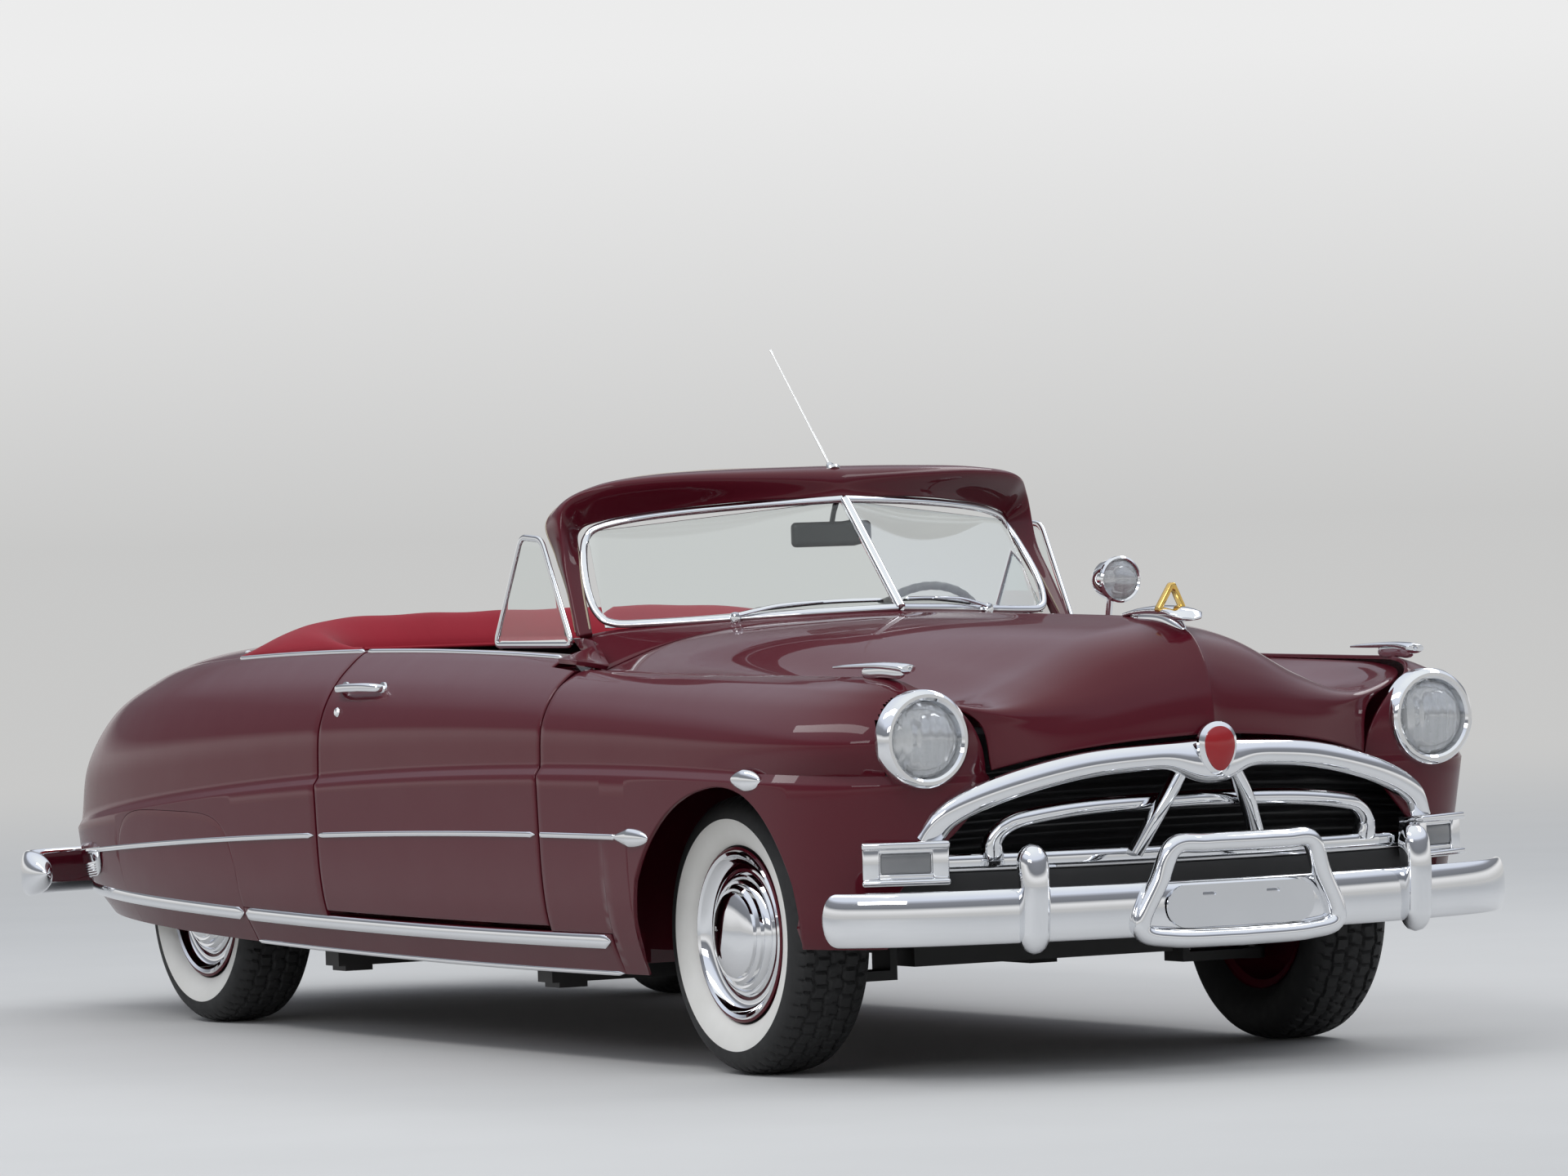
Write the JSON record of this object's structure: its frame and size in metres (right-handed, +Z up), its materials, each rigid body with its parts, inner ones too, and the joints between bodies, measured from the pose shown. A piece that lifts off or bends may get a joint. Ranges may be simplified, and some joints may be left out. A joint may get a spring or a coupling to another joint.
{
  "type": "two-door convertible car",
  "caption": "Long low 1950s convertible car with its top folded under a cloth cover, opening doors, hood and deck lid, steered front wheels and a two-pane windshield.",
  "frame": {"origin": "on the ground at mid length and mid width", "axes": "+X forward, +Y to the left of the driver, +Z up"},
  "size_m": [5.31, 1.956, 1.7871],
  "materials": {
    "body_paint": "deep burgundy clear-coated paint",
    "bright_trim": "polished chrome plate",
    "under_paint": "satin black chassis paint",
    "pane": "clear safety glass",
    "lamp_glass": "clear pressed lamp glass",
    "tail_glass": "clear red lens",
    "steel_parts": "oiled steel",
    "engine_iron": "painted casting",
    "rim_ivory": "smooth grey-beige plastic",
    "seat_leather": "dark red pleated leather",
    "cover_cloth": "red canvas",
    "tyre_rubber": "black rubber with white sidewall",
    "wheel_paint": "burgundy rim with bright cap"
  },
  "bodies": {
    "chassis": {"unit_frame": "under_paint", "floor_tub": "under_paint", "cowl": "body_paint", "windshield_frame": "body_paint", "windshield_glass": "pane", "windshield_trim": "bright_trim", "front_fender_left": "body_paint", "front_fender_right": "body_paint", "rear_quarter_left": "body_paint", "rear_quarter_right": "body_paint", "tail_panel": "body_paint", "deck_panel": "body_paint", "wheel_skirts": "body_paint", "sill_panels": "body_paint", "front_apron": "body_paint", "grille": "bright_trim", "dashboard": "body_paint", "steering_column": "steel_parts", "front_seat": "seat_leather", "rear_seat": "seat_leather", "boot_cover": "cover_cloth", "front_bumper": "bright_trim", "plate_panel": "bright_trim", "rear_bumper": "bright_trim", "headlamp_rims": "bright_trim", "headlamp_lenses": "lamp_glass", "parking_lamps": "bright_trim", "tail_lamps": "tail_glass", "spot_lamp": "bright_trim", "antenna": "bright_trim", "engine": "engine_iron", "driveline": "steel_parts", "rear_axle": "steel_parts", "leaf_springs": "under_paint", "front_suspension": "under_paint", "exhaust": "steel_parts", "fuel_tank": "under_paint"},
    "door_left": {"door_left": "body_paint", "vent_window_left": "pane"},
    "door_right": {"door_right": "body_paint", "vent_window_right": "pane"},
    "hood": {"hood": "body_paint", "hood_ornament": "bright_trim"},
    "deck_lid": {"deck_lid": "body_paint"},
    "steering_wheel": {"steering_wheel": "rim_ivory"},
    "knuckle_left": {"knuckle_left": "steel_parts"},
    "knuckle_right": {"knuckle_right": "steel_parts"},
    "front_left_wheel": {"tyre_front_left": "tyre_rubber", "wheel_front_left": "wheel_paint"},
    "front_right_wheel": {"tyre_front_right": "tyre_rubber", "wheel_front_right": "wheel_paint"},
    "rear_left_wheel": {"tyre_rear_left": "tyre_rubber", "wheel_rear_left": "wheel_paint"},
    "rear_right_wheel": {"tyre_rear_right": "tyre_rubber", "wheel_rear_right": "wheel_paint"}
  },
  "joints": [
    {"name": "door_left_hinge", "type": "hinge", "parent": "chassis", "child": "door_left", "pos_m": [0.93, 0.945, 0.585], "axis": [0, 0, -1], "range_deg": [0, 60]},
    {"name": "door_right_hinge", "type": "hinge", "parent": "chassis", "child": "door_right", "pos_m": [0.93, -0.945, 0.585], "axis": [0, 0, 1], "range_deg": [0, 60]},
    {"name": "hood_hinge", "type": "hinge", "parent": "chassis", "child": "hood", "pos_m": [0.74, 0, 1], "axis": [0, -1, 0], "range_deg": [0, 40]},
    {"name": "deck_lid_hinge", "type": "hinge", "parent": "chassis", "child": "deck_lid", "pos_m": [-1.252, 0, 1.022], "axis": [0, 1, 0], "range_deg": [0, 55]},
    {"name": "steering_turn", "type": "hinge", "parent": "chassis", "child": "steering_wheel", "pos_m": [0.459, 0.37, 0.974], "axis": [-0.891, 0, 0.454], "range_deg": [-600, 600]},
    {"name": "steer_left", "type": "hinge", "parent": "chassis", "child": "knuckle_left", "pos_m": [1.64, 0.64, 0.34], "axis": [0, 0, 1], "range_deg": [-30, 30]},
    {"name": "steer_right", "type": "hinge", "parent": "chassis", "child": "knuckle_right", "pos_m": [1.64, -0.64, 0.34], "axis": [0, 0, 1], "range_deg": [-30, 30]},
    {"name": "front_left_spin", "type": "hinge", "parent": "knuckle_left", "child": "front_left_wheel", "pos_m": [1.64, 0.738, 0.34], "axis": [0, 1, 0], "continuous": true},
    {"name": "front_right_spin", "type": "hinge", "parent": "knuckle_right", "child": "front_right_wheel", "pos_m": [1.64, -0.738, 0.34], "axis": [0, 1, 0], "continuous": true},
    {"name": "rear_left_spin", "type": "hinge", "parent": "chassis", "child": "rear_left_wheel", "pos_m": [-1.51, 0.705, 0.34], "axis": [0, 1, 0], "continuous": true},
    {"name": "rear_right_spin", "type": "hinge", "parent": "chassis", "child": "rear_right_wheel", "pos_m": [-1.51, -0.705, 0.34], "axis": [0, 1, 0], "continuous": true}
  ],
  "couplings": [
    {"joint": "steer_left", "follows": "steering_turn", "ratio": 0.05},
    {"joint": "steer_right", "follows": "steering_turn", "ratio": 0.05}
  ]
}
